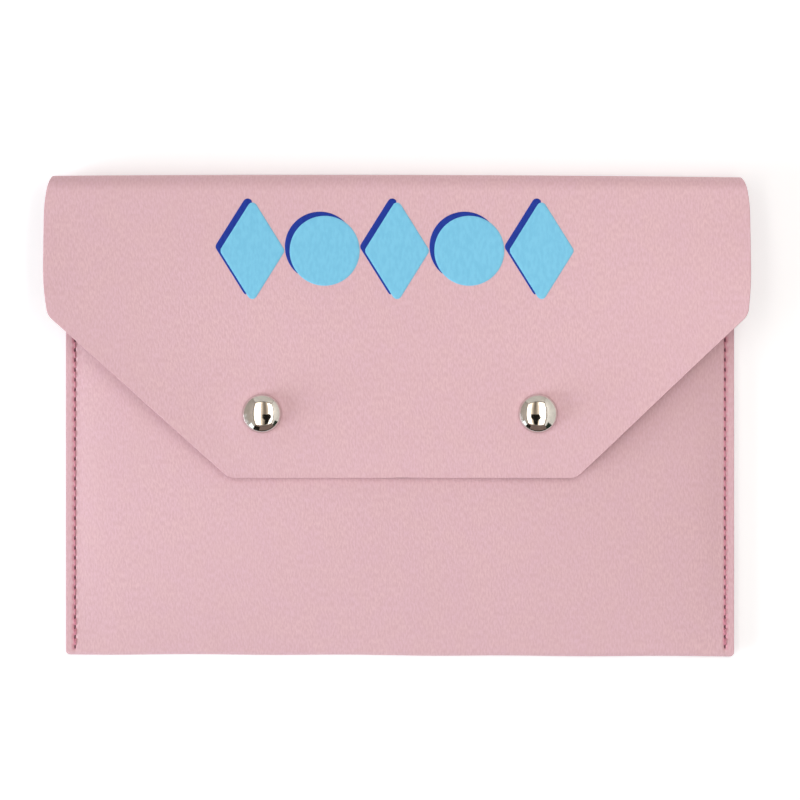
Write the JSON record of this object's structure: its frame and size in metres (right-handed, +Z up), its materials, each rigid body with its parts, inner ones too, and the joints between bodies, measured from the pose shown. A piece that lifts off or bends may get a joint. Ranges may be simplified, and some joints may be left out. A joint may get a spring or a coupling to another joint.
{
  "type": "mahjong card holder",
  "caption": "Flat soft leather pouch with stitched sides and a wide front flap that folds over from the top and closes on two domed snap fasteners.",
  "frame": {"origin": "under the middle of the closed pouch as it lies on its back, at the middle of its bounding box, on the table", "axes": "+X across to the right as seen from the flap's side, +Y towards the flap's fold, +Z up out of the flap"},
  "size_m": [0.222, 0.1524, 0.0139],
  "materials": {
    "hide": "soft matte pebbled pink hide, suede inside",
    "seam_thread": "waxed rose thread",
    "snap_nickel": "polished nickel plate",
    "spring_wire": "drawn spring wire",
    "light_blue_film": "thin satin print film",
    "royal_blue_film": "thin satin print film"
  },
  "bodies": {
    "pouch": {"pouch_shell": "hide", "flap_fold": "hide", "needle_thread_left": "seam_thread", "needle_thread_right": "seam_thread", "bobbin_thread_left": "seam_thread", "bobbin_thread_right": "seam_thread", "snap_stud_left": "snap_nickel", "snap_stud_right": "snap_nickel", "snap_post_left": "snap_nickel", "snap_post_right": "snap_nickel"},
    "flap": {"flap": "hide", "snap_cap_left": "snap_nickel", "snap_cap_right": "snap_nickel", "snap_socket_left": "snap_nickel", "snap_socket_right": "snap_nickel", "snap_spring_left": "spring_wire", "snap_spring_right": "spring_wire", "print_face_1": "light_blue_film", "print_face_2": "light_blue_film", "print_face_3": "light_blue_film", "print_face_4": "light_blue_film", "print_face_5": "light_blue_film", "print_shadow_1": "royal_blue_film", "print_shadow_2": "royal_blue_film", "print_shadow_3": "royal_blue_film", "print_shadow_4": "royal_blue_film", "print_shadow_5": "royal_blue_film"}
  },
  "joints": [
    {"name": "flap", "type": "hinge", "parent": "pouch", "child": "flap", "pos_m": [0, 0.0754, 0.0054], "axis": [-1, 0, 0], "range_deg": [0, 176], "deforming": ["flap_fold", "snap_spring_left", "snap_spring_right"]}
  ]
}
